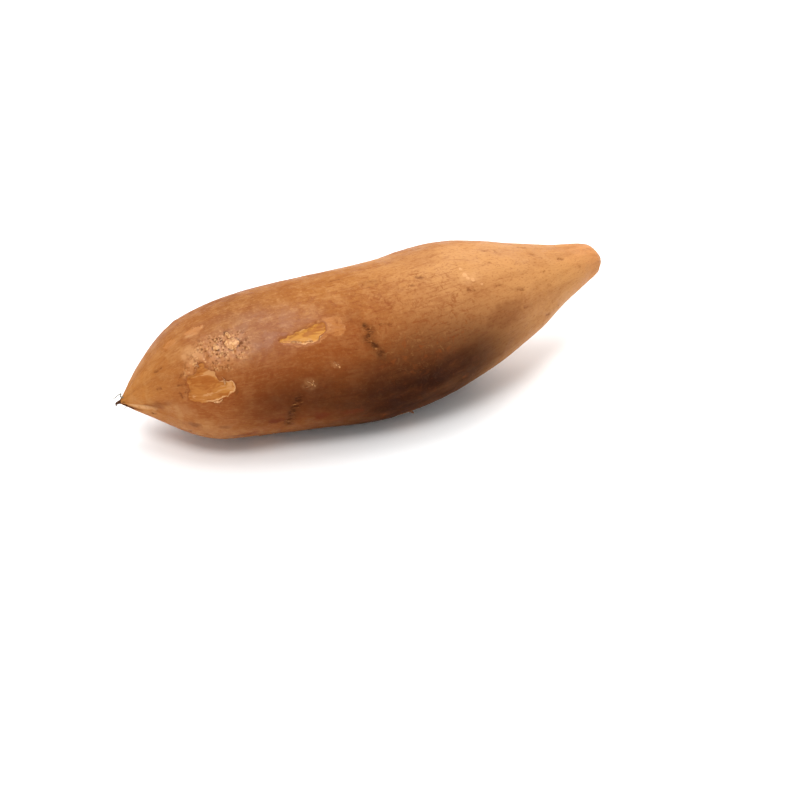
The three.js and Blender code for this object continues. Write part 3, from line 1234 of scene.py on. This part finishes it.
# Dark flakes of dead bark round the very tip: as FLAKES.
TAIL_SCRAPS = [
    (1.1, -20, 190, 1.6, 0.7, 30),
    (1.8, 96, 12, 1.6, 0.7, 22),
    (2.4, 126, 5, 2.0, 0.8, 26),
    (3.9, 126, 8, 1.6, 0.6, 18),
    (2.2, 140, 350, 1.8, 0.9, 24),
    (1.6, -100, 20, 1.8, 0.8, 22),
]

FLAKE_ROWS = 14  # points along a flake
FLAKE_COLUMNS = 7  # points across it
FLAKE_THICK_MM = 0.10
FLAKE_ROOT_MM = 0.12  # how deep the edge that still holds on sits in the skin
HAIR_SIDES = 7
ROOTLET_RINGS = 8
ROOTLET_SIDES = 12
TAIL_STUB_MM = 0.8  # how far the dead end of the tail sticks out


class Ground:
    """Finds points on the finished skin, and the directions there."""

    def __init__(self, skin, surface):
        self.skin = skin
        self.surface = surface

    def at(self, along, turn):
        """The skin's point, and the directions out, towards the stub and round the front."""
        i = np.interp(along, self.skin.along, np.arange(RINGS))
        i = int(np.clip(round(float(i)), 1, RINGS - 2))
        j = round((turn % 360) / 360 * SIDES) % SIDES
        point = Vector(self.surface[i, j])
        out = Vector(self.skin.normals[i, j])
        lengthways = Vector(self.surface[i + 1, j] - self.surface[i - 1, j])
        lengthways = (lengthways - out * lengthways.dot(out)).normalized()
        return point, out, lengthways, lengthways.cross(out)


def turned(first, second, degrees):
    """The direction that many degrees from the first towards the second."""
    angle = math.radians(degrees)
    return first * math.cos(angle) + second * math.sin(angle)


def sheet_faces(rows, columns):
    """Faces of a thin closed sheet: its top and its underside as grids, and its rim."""
    def corner(side, i, j):
        return (side * rows + i) * columns + j

    faces = []
    for i in range(rows - 1):
        for j in range(columns - 1):
            cell = [(i, j), (i, j + 1), (i + 1, j + 1), (i + 1, j)]
            faces.append([corner(0, *place) for place in cell])
            faces.append([corner(1, *place) for place in reversed(cell)])
    rim = [(0, j) for j in range(columns)]
    rim += [(i, columns - 1) for i in range(1, rows)]
    rim += [(rows - 1, j) for j in range(columns - 2, -1, -1)]
    rim += [(i, 0) for i in range(rows - 2, 0, -1)]
    for (i, j), (k, l) in zip(rim, rim[1:] + rim[:1]):
        faces.append((corner(0, k, l), corner(0, i, j), corner(1, i, j), corner(1, k, l)))
    return faces


def add_flake(name, ground, place, material, seed):
    """A thin ragged flake, held along one edge and curling up from the skin."""
    along, turn, heading, length, width, lift = place
    point, out, lengthways, round_front = ground.at(along, turn)
    run = turned(lengthways, round_front, heading)
    away = run.cross(out)
    tops, bottoms = [], []
    for i in range(FLAKE_ROWS):
        share = i / (FLAKE_ROWS - 1)
        taper = math.sin(math.pi * (0.06 + 0.88 * share)) ** 0.6
        ragged = 1 + 0.55 * noise.noise(Vector((share * 6, seed * 3.7, 0)))
        reach = width * taper * ragged
        bow = 0.18 * length * (share - 0.5) ** 2
        for j in range(FLAKE_COLUMNS):
            step = j / (FLAKE_COLUMNS - 1)
            angle = math.radians(lift * (0.35 + 1.1 * step))
            rough = 0.10 * noise.noise(Vector((share * 9, step * 4, seed * 1.9)))
            sideways = step * reach * math.cos(angle) - bow
            flat = run * ((share - 0.5) * length + rough) - away * sideways
            high = step * reach * math.sin(angle) + rough * step - FLAKE_ROOT_MM
            edge = FLAKE_THICK_MM * (1 - 0.7 * step) / 2
            tops.append(point + (flat + out * (high + edge)) * MM)
            bottoms.append(point + (flat + out * (high - edge)) * MM)
    piece = add_mesh(name, tops + bottoms, sheet_faces(FLAKE_ROWS, FLAKE_COLUMNS))
    finish_piece(piece, material)


def tube_rings(path, radii, sides, seed, rough):
    """Rings of points round a path in millimetres, each a little uneven."""
    rings = []
    for i, (middle, radius) in enumerate(zip(path, radii)):
        ahead = (path[min(i + 1, len(path) - 1)] - path[max(i - 1, 0)]).normalized()
        side = ahead.cross(Vector((0.3, 0.2, 0.93))).normalized()
        over = ahead.cross(side)
        for j in range(sides):
            angle = 2 * math.pi * j / sides
            uneven = 1 + rough * noise.noise(Vector((i * 0.7, j * 1.3, seed)))
            around = side * math.cos(angle) + over * math.sin(angle)
            rings.append(middle + around * radius * uneven)
    return rings


def tube_mesh(name, path, radii, sides, seed, rough):
    """A closed tube along a path, with a point at each end."""
    points = tube_rings(path, radii, sides, seed, rough)
    points += [path[0], path[-1]]
    return add_mesh(name, [point * MM for point in points], ring_faces(len(path), sides))


def add_hair(name, ground, place, material, seed):
    """A dried hair root that leaves the skin and bends to and fro."""
    along, turn, thick, bends = place
    point, out, _, _ = ground.at(along, turn)
    start = point / MM
    path = smooth_path([start - out * 0.4, start] + [start + Vector(bend) for bend in bends], 7)
    radii = [thick * (1 - 0.7 * i / (len(path) - 1)) for i in range(len(path))]
    finish_piece(tube_mesh(name, path, radii, HAIR_SIDES, seed, 0.35), material)


def add_rootlet(name, ground, place, material, seed):
    """The short stub of a rootlet that has broken off, with its pale broken end."""
    along, turn, length, thick, lean = place
    point, out, lengthways, _ = ground.at(along, turn)
    ahead = turned(out, lengthways, lean)
    shares = [i / (ROOTLET_RINGS - 1) for i in range(ROOTLET_RINGS)]
    path = [point / MM + ahead * (length * (share * 1.3 - 0.3)) for share in shares]
    radii = [thick / 2 * (1.5 - 0.9 * share) for share in shares]
    path.append(path[-1] - ahead * 0.12)
    radii.append(radii[-1] * 0.55)
    piece = tube_mesh(name, path, radii, ROOTLET_SIDES, seed, 0.30)
    core = [0.0] * (ROOTLET_RINGS - 1) + [0.5, 1.0]
    values = [value for value in core for _ in range(ROOTLET_SIDES)] + [0.0, 1.0]
    piece.data.attributes.new("core", "FLOAT", "POINT").data.foreach_set("value", values)
    finish_piece(piece, material)


def add_tail_stub(skin, material):
    """The dead, twisted end of the tail."""
    tip = Vector((LOW.x, *skin.middle[0])) / MM
    inside = Vector((skin.ring_x[6], *skin.middle[6])) / MM
    ahead = (tip - inside).normalized()
    end = tip + ahead * TAIL_STUB_MM + Vector((0.2, 0.1, -1.3))
    path = smooth_path([inside, tip, tip + ahead * 0.6 + Vector((0, 0, -0.25)), end], 6)
    radii = [0.50 * (1 - (i / (len(path) - 1)) ** 1.6) + 0.12 for i in range(len(path))]
    piece = tube_mesh("dry_tail_end", path, radii, 14, 5, 0.6)
    finish_piece(piece, material)


def add_small_pieces(skin, surface):
    """Everything that hangs on to the skin: flakes, scraps, hair roots and rootlets."""
    ground = Ground(skin, surface)
    flake_bark = loose_flake()
    dead_bark = dry_tail()
    hair_bark = dry_hair()
    stub_bark = rootlet_bark()
    for number, place in enumerate(FLAKES, 1):
        add_flake(f"bark_flake_{number}", ground, place, flake_bark, number)
    for number, place in enumerate(TAIL_SCRAPS, 1):
        add_flake(f"tail_scrap_{number}", ground, place, dead_bark, 40 + number)
    for number, place in enumerate(ROOTLETS, 1):
        add_rootlet(f"broken_rootlet_{number}", ground, place, stub_bark, number)
    for number, (name, place) in enumerate(HAIRS.items(), 1):
        add_hair(name, ground, place, hair_bark, number)
    add_tail_stub(skin, dead_bark)


# ---------------------------------------------------------------- camera, light and floor

VIEW_AZIMUTH = -22  # degrees: how far the camera stands round to the left of the front
VIEW_ELEVATION = 35
VIEW_DISTANCE = 0.9
LENS_MM = 108.7
VIEW_AIM = Vector((0.0088, -0.0036, 0.0001))
ROOM_LIGHT = 0.70
FLOOR_REACH = 4.0

# Soft square lights, turned to the root: name, place, size, and power in watts.
LIGHTS = [
    ("overhead", (0.10, 0.15, 1.20), 0.9, 8.6),
    ("far_side", (0.80, 0.70, 0.75), 0.7, 8.6),
    ("near_side", (-0.34, -0.40, 0.95), 0.35, 5.0),
]


def view_back():
    """The direction from the root to the camera."""
    azimuth, elevation = math.radians(VIEW_AZIMUTH), math.radians(VIEW_ELEVATION)
    level = math.cos(elevation)
    return Vector((math.sin(azimuth) * level, -math.cos(azimuth) * level, math.sin(elevation)))


def add_camera():
    """A long lens that looks down on the root from the left of its front."""
    camera = bpy.data.objects.new("camera", bpy.data.cameras.new("camera"))
    camera.data.lens = LENS_MM
    camera.location = VIEW_AIM + view_back() * VIEW_DISTANCE
    camera.rotation_euler = view_back().to_track_quat("Z", "Y").to_euler()
    bpy.context.scene.collection.objects.link(camera)
    bpy.context.scene.camera = camera


def add_light(name, place, size, watts):
    """A soft square light at that place, turned to the root."""
    data = bpy.data.lights.new(name, "AREA")
    data.size = size
    data.energy = watts
    light = bpy.data.objects.new(name, data)
    light.location = place
    light.rotation_euler = Vector(place).to_track_quat("Z", "Y").to_euler()
    bpy.context.scene.collection.objects.link(light)


def add_studio():
    """A white floor under soft light from above, and a pale room all round."""
    for light in LIGHTS:
        add_light(*light)
    world = bpy.data.worlds.new("studio")
    world.use_nodes = True
    room = world.node_tree.nodes["Background"].inputs
    room["Color"].default_value = (1, 1, 1, 1)
    room["Strength"].default_value = ROOM_LIGHT
    bpy.context.scene.world = world
    bpy.context.scene.view_settings.view_transform = "Standard"

    sides = [(-1, -1), (1, -1), (1, 1), (-1, 1)]
    corners = [(x * FLOOR_REACH, y * FLOOR_REACH, 0) for x, y in sides]
    floor = add_mesh("floor", corners, [(0, 1, 2, 3)])
    material, kit, shader = new_material("floor_white")
    kit.feed(shader, "Base Color", srgb(250, 250, 250))
    kit.feed(shader, "Roughness", 0.7)
    floor.data.materials.append(material)


# ---------------------------------------------------------------- the root

def add_root():
    """The whole root: its skin in place of the plain solid, and what hangs on to it."""
    skin = Skin(ROOT)
    marks = skin_marks(skin)
    straight = straightened(skin)
    height = relief(skin, marks, straight) * MM
    surface = skin.points + skin.normals * height[..., None]
    surface[..., 2] = np.maximum(surface[..., 2], LOW.z)
    whole = build_skin(skin, marks, straight, surface)
    finish_piece(whole, root_skin())
    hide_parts("yacon_root")
    add_small_pieces(skin, surface)


add_camera()
add_studio()
add_root()
